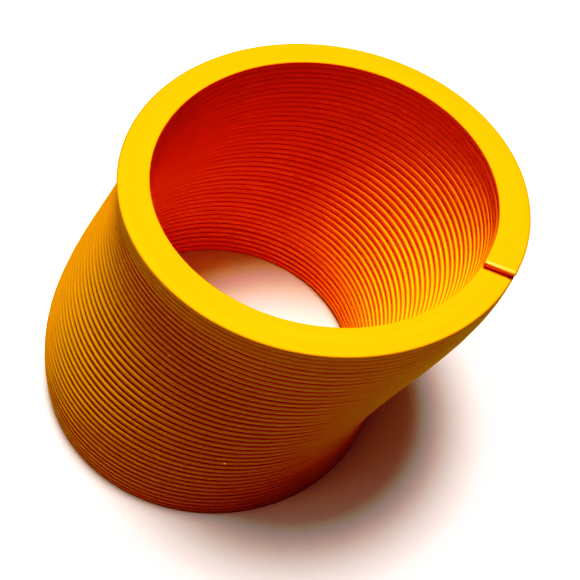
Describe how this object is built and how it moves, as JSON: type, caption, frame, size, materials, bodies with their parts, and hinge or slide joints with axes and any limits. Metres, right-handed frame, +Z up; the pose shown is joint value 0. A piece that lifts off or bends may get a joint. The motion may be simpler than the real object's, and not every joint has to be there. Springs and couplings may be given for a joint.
{
  "type": "spring coil toy",
  "caption": "Flat plastic ribbon wound into a springy coil that stands as a closed, leaning stack, stretches out and arches over.",
  "frame": {"origin": "centre of the bounding box, on the surface that the foot coil stands on", "axes": "+Z up the stack, +X the way that the upper turns have slid sideways, +Y to the left of that seen from above"},
  "size_m": [0.0926, 0.0767, 0.0602],
  "materials": {
    "spring_plastic": "soft satin"
  },
  "bodies": {
    "foot_coil": {"foot_coil": "spring_plastic"},
    "coil_02": {"coil_02": "spring_plastic"},
    "coil_03": {"coil_03": "spring_plastic"},
    "coil_04": {"coil_04": "spring_plastic"},
    "coil_05": {"coil_05": "spring_plastic"},
    "coil_06": {"coil_06": "spring_plastic"},
    "coil_07": {"coil_07": "spring_plastic"},
    "coil_08": {"coil_08": "spring_plastic"},
    "coil_09": {"coil_09": "spring_plastic"},
    "coil_10": {"coil_10": "spring_plastic"},
    "coil_11": {"coil_11": "spring_plastic"},
    "coil_12": {"coil_12": "spring_plastic"},
    "coil_13": {"coil_13": "spring_plastic"},
    "coil_14": {"coil_14": "spring_plastic"},
    "coil_15": {"coil_15": "spring_plastic"},
    "coil_16": {"coil_16": "spring_plastic"},
    "coil_17": {"coil_17": "spring_plastic"},
    "coil_18": {"coil_18": "spring_plastic"},
    "coil_19": {"coil_19": "spring_plastic"},
    "coil_20": {"coil_20": "spring_plastic"},
    "coil_21": {"coil_21": "spring_plastic"},
    "coil_22": {"coil_22": "spring_plastic"},
    "coil_23": {"coil_23": "spring_plastic"},
    "coil_24": {"coil_24": "spring_plastic"},
    "coil_25": {"coil_25": "spring_plastic"},
    "coil_26": {"coil_26": "spring_plastic"},
    "coil_27": {"coil_27": "spring_plastic"},
    "coil_28": {"coil_28": "spring_plastic"},
    "coil_29": {"coil_29": "spring_plastic"},
    "coil_30": {"coil_30": "spring_plastic"},
    "coil_31": {"coil_31": "spring_plastic"},
    "coil_32": {"coil_32": "spring_plastic"},
    "coil_33": {"coil_33": "spring_plastic"},
    "coil_34": {"coil_34": "spring_plastic"},
    "coil_35": {"coil_35": "spring_plastic"},
    "coil_36": {"coil_36": "spring_plastic"},
    "coil_37": {"coil_37": "spring_plastic"},
    "coil_38": {"coil_38": "spring_plastic"},
    "coil_39": {"coil_39": "spring_plastic"},
    "coil_40": {"coil_40": "spring_plastic"},
    "coil_41": {"coil_41": "spring_plastic"},
    "coil_42": {"coil_42": "spring_plastic"},
    "coil_43": {"coil_43": "spring_plastic"},
    "coil_44": {"coil_44": "spring_plastic"},
    "coil_45": {"coil_45": "spring_plastic"},
    "coil_46": {"coil_46": "spring_plastic"},
    "coil_47": {"coil_47": "spring_plastic"},
    "coil_48": {"coil_48": "spring_plastic"},
    "coil_49": {"coil_49": "spring_plastic"},
    "coil_50": {"coil_50": "spring_plastic"},
    "coil_51": {"coil_51": "spring_plastic"},
    "coil_52": {"coil_52": "spring_plastic"},
    "coil_53": {"coil_53": "spring_plastic"},
    "coil_54": {"coil_54": "spring_plastic"},
    "coil_55": {"coil_55": "spring_plastic"},
    "coil_56": {"coil_56": "spring_plastic"},
    "coil_57": {"coil_57": "spring_plastic"},
    "coil_58": {"coil_58": "spring_plastic"},
    "coil_59": {"coil_59": "spring_plastic"},
    "top_coil": {"top_coil": "spring_plastic"}
  },
  "joints": [
    {"name": "stretch", "type": "slide", "parent": "foot_coil", "child": "coil_02", "axis": [0, -0.0118, 0.9999], "range_m": [0, 0.016]},
    {"name": "bend", "type": "hinge", "parent": "coil_02", "child": "coil_03", "pos_m": [0.04645, 0, 0.00213], "axis": [0, 1, 0], "range_deg": [0, 6.12]},
    {"name": "stretch_02", "type": "slide", "parent": "coil_03", "child": "coil_04", "axis": [-0.0011, -0.0116, 0.9999], "range_m": [0, 0.016]},
    {"name": "bend_02", "type": "hinge", "parent": "coil_04", "child": "coil_05", "pos_m": [0.04645, 0, 0.00366], "axis": [0, 1, 0], "range_deg": [0, 6.12]},
    {"name": "stretch_03", "type": "slide", "parent": "coil_05", "child": "coil_06", "axis": [-0.0087, -0.0114, 0.9999], "range_m": [0, 0.016]},
    {"name": "bend_03", "type": "hinge", "parent": "coil_06", "child": "coil_07", "pos_m": [0.04645, 0, 0.00673], "axis": [0, 1, 0], "range_deg": [0, 6.12]},
    {"name": "stretch_04", "type": "slide", "parent": "coil_07", "child": "coil_08", "axis": [-0.0168, -0.011, 0.9998], "range_m": [0, 0.016]},
    {"name": "bend_04", "type": "hinge", "parent": "coil_08", "child": "coil_09", "pos_m": [0.04645, 0, 0.00827], "axis": [0, 1, 0], "range_deg": [0, 6.12]},
    {"name": "stretch_05", "type": "slide", "parent": "coil_09", "child": "coil_10", "axis": [-0.0242, -0.0105, 0.9997], "range_m": [0, 0.01601]},
    {"name": "bend_05", "type": "hinge", "parent": "coil_10", "child": "coil_11", "pos_m": [0.04645, 0, 0.00976], "axis": [0, 1, 0], "range_deg": [0, 6.12]},
    {"name": "stretch_06", "type": "slide", "parent": "coil_11", "child": "coil_12", "axis": [-0.031, -0.0099, 0.9995], "range_m": [0, 0.01601]},
    {"name": "bend_06", "type": "hinge", "parent": "coil_12", "child": "coil_13", "pos_m": [0.04645, 0, 0.01265], "axis": [0, 1, 0], "range_deg": [0, 6.12]},
    {"name": "stretch_07", "type": "slide", "parent": "coil_13", "child": "coil_14", "axis": [-0.037, -0.0091, 0.9993], "range_m": [0, 0.01601]},
    {"name": "bend_07", "type": "hinge", "parent": "coil_14", "child": "coil_15", "pos_m": [0.04645, 0, 0.01409], "axis": [0, 1, 0], "range_deg": [0, 6.12]},
    {"name": "stretch_08", "type": "slide", "parent": "coil_15", "child": "coil_16", "axis": [-0.0424, -0.0083, 0.9991], "range_m": [0, 0.01602]},
    {"name": "bend_08", "type": "hinge", "parent": "coil_16", "child": "coil_17", "pos_m": [0.04645, 0, 0.01697], "axis": [0, 1, 0], "range_deg": [0, 6.12]},
    {"name": "stretch_09", "type": "slide", "parent": "coil_17", "child": "coil_18", "axis": [-0.0471, -0.0074, 0.9989], "range_m": [0, 0.01602]},
    {"name": "bend_09", "type": "hinge", "parent": "coil_18", "child": "coil_19", "pos_m": [0.04645, 0, 0.01841], "axis": [0, 1, 0], "range_deg": [0, 6.12]},
    {"name": "stretch_10", "type": "slide", "parent": "coil_19", "child": "coil_20", "axis": [-0.0512, -0.0064, 0.9987], "range_m": [0, 0.01602]},
    {"name": "bend_10", "type": "hinge", "parent": "coil_20", "child": "coil_21", "pos_m": [0.04645, 0, 0.01985], "axis": [0, 1, 0], "range_deg": [0, 6.12]},
    {"name": "stretch_11", "type": "slide", "parent": "coil_21", "child": "coil_22", "axis": [-0.0545, -0.0053, 0.9985], "range_m": [0, 0.01602]},
    {"name": "bend_11", "type": "hinge", "parent": "coil_22", "child": "coil_23", "pos_m": [0.04645, 0, 0.02273], "axis": [0, 1, 0], "range_deg": [0, 6.12]},
    {"name": "stretch_12", "type": "slide", "parent": "coil_23", "child": "coil_24", "axis": [-0.0572, -0.0042, 0.9984], "range_m": [0, 0.01603]},
    {"name": "bend_12", "type": "hinge", "parent": "coil_24", "child": "coil_25", "pos_m": [0.04645, 0, 0.02417], "axis": [0, 1, 0], "range_deg": [0, 6.12]},
    {"name": "stretch_13", "type": "slide", "parent": "coil_25", "child": "coil_26", "axis": [-0.0592, -0.003, 0.9982], "range_m": [0, 0.01603]},
    {"name": "bend_13", "type": "hinge", "parent": "coil_26", "child": "coil_27", "pos_m": [0.04645, 0, 0.02561], "axis": [0, 1, 0], "range_deg": [0, 6.12]},
    {"name": "stretch_14", "type": "slide", "parent": "coil_27", "child": "coil_28", "axis": [-0.0606, -0.0018, 0.9982], "range_m": [0, 0.01603]},
    {"name": "bend_14", "type": "hinge", "parent": "coil_28", "child": "coil_29", "pos_m": [0.04645, 0, 0.02849], "axis": [0, 1, 0], "range_deg": [0, 6.12]},
    {"name": "stretch_15", "type": "slide", "parent": "coil_29", "child": "coil_30", "axis": [-0.0612, -0.0006, 0.9981], "range_m": [0, 0.01603]},
    {"name": "bend_15", "type": "hinge", "parent": "coil_30", "child": "coil_31", "pos_m": [0.04645, 0, 0.02993], "axis": [0, 1, 0], "range_deg": [0, 6.12]},
    {"name": "stretch_16", "type": "slide", "parent": "coil_31", "child": "coil_32", "axis": [-0.0612, 0.0006, 0.9981], "range_m": [0, 0.01603]},
    {"name": "bend_16", "type": "hinge", "parent": "coil_32", "child": "coil_33", "pos_m": [0.04645, 0, 0.03137], "axis": [0, 1, 0], "range_deg": [0, 6.12]},
    {"name": "stretch_17", "type": "slide", "parent": "coil_33", "child": "coil_34", "axis": [-0.0606, 0.0018, 0.9982], "range_m": [0, 0.01603]},
    {"name": "bend_17", "type": "hinge", "parent": "coil_34", "child": "coil_35", "pos_m": [0.04645, 0, 0.03425], "axis": [0, 1, 0], "range_deg": [0, 6.12]},
    {"name": "stretch_18", "type": "slide", "parent": "coil_35", "child": "coil_36", "axis": [-0.0592, 0.003, 0.9982], "range_m": [0, 0.01603]},
    {"name": "bend_18", "type": "hinge", "parent": "coil_36", "child": "coil_37", "pos_m": [0.04645, 0, 0.03569], "axis": [0, 1, 0], "range_deg": [0, 6.12]},
    {"name": "stretch_19", "type": "slide", "parent": "coil_37", "child": "coil_38", "axis": [-0.0572, 0.0042, 0.9984], "range_m": [0, 0.01603]},
    {"name": "bend_19", "type": "hinge", "parent": "coil_38", "child": "coil_39", "pos_m": [0.04645, 0, 0.03857], "axis": [0, 1, 0], "range_deg": [0, 6.12]},
    {"name": "stretch_20", "type": "slide", "parent": "coil_39", "child": "coil_40", "axis": [-0.0545, 0.0053, 0.9985], "range_m": [0, 0.01602]},
    {"name": "bend_20", "type": "hinge", "parent": "coil_40", "child": "coil_41", "pos_m": [0.04645, 0, 0.04001], "axis": [0, 1, 0], "range_deg": [0, 6.12]},
    {"name": "stretch_21", "type": "slide", "parent": "coil_41", "child": "coil_42", "axis": [-0.0512, 0.0064, 0.9987], "range_m": [0, 0.01602]},
    {"name": "bend_21", "type": "hinge", "parent": "coil_42", "child": "coil_43", "pos_m": [0.04645, 0, 0.04145], "axis": [0, 1, 0], "range_deg": [0, 6.12]},
    {"name": "stretch_22", "type": "slide", "parent": "coil_43", "child": "coil_44", "axis": [-0.0471, 0.0074, 0.9989], "range_m": [0, 0.01602]},
    {"name": "bend_22", "type": "hinge", "parent": "coil_44", "child": "coil_45", "pos_m": [0.04645, 0, 0.04433], "axis": [0, 1, 0], "range_deg": [0, 6.12]},
    {"name": "stretch_23", "type": "slide", "parent": "coil_45", "child": "coil_46", "axis": [-0.0424, 0.0083, 0.9991], "range_m": [0, 0.01602]},
    {"name": "bend_23", "type": "hinge", "parent": "coil_46", "child": "coil_47", "pos_m": [0.04645, 0, 0.04577], "axis": [0, 1, 0], "range_deg": [0, 6.12]},
    {"name": "stretch_24", "type": "slide", "parent": "coil_47", "child": "coil_48", "axis": [-0.037, 0.0091, 0.9993], "range_m": [0, 0.01601]},
    {"name": "bend_24", "type": "hinge", "parent": "coil_48", "child": "coil_49", "pos_m": [0.04645, 0, 0.04721], "axis": [0, 1, 0], "range_deg": [0, 6.12]},
    {"name": "stretch_25", "type": "slide", "parent": "coil_49", "child": "coil_50", "axis": [-0.031, 0.0099, 0.9995], "range_m": [0, 0.01601]},
    {"name": "bend_25", "type": "hinge", "parent": "coil_50", "child": "coil_51", "pos_m": [0.04645, 0, 0.05009], "axis": [0, 1, 0], "range_deg": [0, 6.12]},
    {"name": "stretch_26", "type": "slide", "parent": "coil_51", "child": "coil_52", "axis": [-0.0242, 0.0105, 0.9997], "range_m": [0, 0.01601]},
    {"name": "bend_26", "type": "hinge", "parent": "coil_52", "child": "coil_53", "pos_m": [0.04645, 0, 0.05153], "axis": [0, 1, 0], "range_deg": [0, 6.12]},
    {"name": "stretch_27", "type": "slide", "parent": "coil_53", "child": "coil_54", "axis": [-0.0168, 0.011, 0.9998], "range_m": [0, 0.016]},
    {"name": "bend_27", "type": "hinge", "parent": "coil_54", "child": "coil_55", "pos_m": [0.04645, 0, 0.05441], "axis": [0, 1, 0], "range_deg": [0, 6.12]},
    {"name": "stretch_28", "type": "slide", "parent": "coil_55", "child": "coil_56", "axis": [-0.0087, 0.0114, 0.9999], "range_m": [0, 0.016]},
    {"name": "bend_28", "type": "hinge", "parent": "coil_56", "child": "coil_57", "pos_m": [0.04645, 0, 0.05585], "axis": [0, 1, 0], "range_deg": [0, 6.12]},
    {"name": "stretch_29", "type": "slide", "parent": "coil_57", "child": "coil_58", "axis": [-0.0011, 0.0116, 0.9999], "range_m": [0, 0.016]},
    {"name": "bend_29", "type": "hinge", "parent": "coil_58", "child": "coil_59", "pos_m": [0.04645, 0, 0.05729], "axis": [0, 1, 0], "range_deg": [0, 6.12]},
    {"name": "stretch_30", "type": "slide", "parent": "coil_59", "child": "top_coil", "axis": [0, 0.0118, 0.9999], "range_m": [0, 0.016]}
  ],
  "couplings": [
    {"joint": "stretch_02", "follows": "stretch", "ratio": 1},
    {"joint": "bend_02", "follows": "bend", "ratio": 1},
    {"joint": "stretch_03", "follows": "stretch", "ratio": 1},
    {"joint": "bend_03", "follows": "bend", "ratio": 1},
    {"joint": "stretch_04", "follows": "stretch", "ratio": 1.0001},
    {"joint": "bend_04", "follows": "bend", "ratio": 1},
    {"joint": "stretch_05", "follows": "stretch", "ratio": 1.0003},
    {"joint": "bend_05", "follows": "bend", "ratio": 1},
    {"joint": "stretch_06", "follows": "stretch", "ratio": 1.0005},
    {"joint": "bend_06", "follows": "bend", "ratio": 1},
    {"joint": "stretch_07", "follows": "stretch", "ratio": 1.0007},
    {"joint": "bend_07", "follows": "bend", "ratio": 1},
    {"joint": "stretch_08", "follows": "stretch", "ratio": 1.0009},
    {"joint": "bend_08", "follows": "bend", "ratio": 1},
    {"joint": "stretch_09", "follows": "stretch", "ratio": 1.0011},
    {"joint": "bend_09", "follows": "bend", "ratio": 1},
    {"joint": "stretch_10", "follows": "stretch", "ratio": 1.0013},
    {"joint": "bend_10", "follows": "bend", "ratio": 1},
    {"joint": "stretch_11", "follows": "stretch", "ratio": 1.0014},
    {"joint": "bend_11", "follows": "bend", "ratio": 1},
    {"joint": "stretch_12", "follows": "stretch", "ratio": 1.0016},
    {"joint": "bend_12", "follows": "bend", "ratio": 1},
    {"joint": "stretch_13", "follows": "stretch", "ratio": 1.0017},
    {"joint": "bend_13", "follows": "bend", "ratio": 1},
    {"joint": "stretch_14", "follows": "stretch", "ratio": 1.0018},
    {"joint": "bend_14", "follows": "bend", "ratio": 1},
    {"joint": "stretch_15", "follows": "stretch", "ratio": 1.0018},
    {"joint": "bend_15", "follows": "bend", "ratio": 1},
    {"joint": "stretch_16", "follows": "stretch", "ratio": 1.0018},
    {"joint": "bend_16", "follows": "bend", "ratio": 1},
    {"joint": "stretch_17", "follows": "stretch", "ratio": 1.0018},
    {"joint": "bend_17", "follows": "bend", "ratio": 1},
    {"joint": "stretch_18", "follows": "stretch", "ratio": 1.0017},
    {"joint": "bend_18", "follows": "bend", "ratio": 1},
    {"joint": "stretch_19", "follows": "stretch", "ratio": 1.0016},
    {"joint": "bend_19", "follows": "bend", "ratio": 1},
    {"joint": "stretch_20", "follows": "stretch", "ratio": 1.0014},
    {"joint": "bend_20", "follows": "bend", "ratio": 1},
    {"joint": "stretch_21", "follows": "stretch", "ratio": 1.0013},
    {"joint": "bend_21", "follows": "bend", "ratio": 1},
    {"joint": "stretch_22", "follows": "stretch", "ratio": 1.0011},
    {"joint": "bend_22", "follows": "bend", "ratio": 1},
    {"joint": "stretch_23", "follows": "stretch", "ratio": 1.0009},
    {"joint": "bend_23", "follows": "bend", "ratio": 1},
    {"joint": "stretch_24", "follows": "stretch", "ratio": 1.0007},
    {"joint": "bend_24", "follows": "bend", "ratio": 1},
    {"joint": "stretch_25", "follows": "stretch", "ratio": 1.0005},
    {"joint": "bend_25", "follows": "bend", "ratio": 1},
    {"joint": "stretch_26", "follows": "stretch", "ratio": 1.0003},
    {"joint": "bend_26", "follows": "bend", "ratio": 1},
    {"joint": "stretch_27", "follows": "stretch", "ratio": 1.0001},
    {"joint": "bend_27", "follows": "bend", "ratio": 1},
    {"joint": "stretch_28", "follows": "stretch", "ratio": 1},
    {"joint": "bend_28", "follows": "bend", "ratio": 1},
    {"joint": "stretch_29", "follows": "stretch", "ratio": 1},
    {"joint": "bend_29", "follows": "bend", "ratio": 1},
    {"joint": "stretch_30", "follows": "stretch", "ratio": 1}
  ]
}
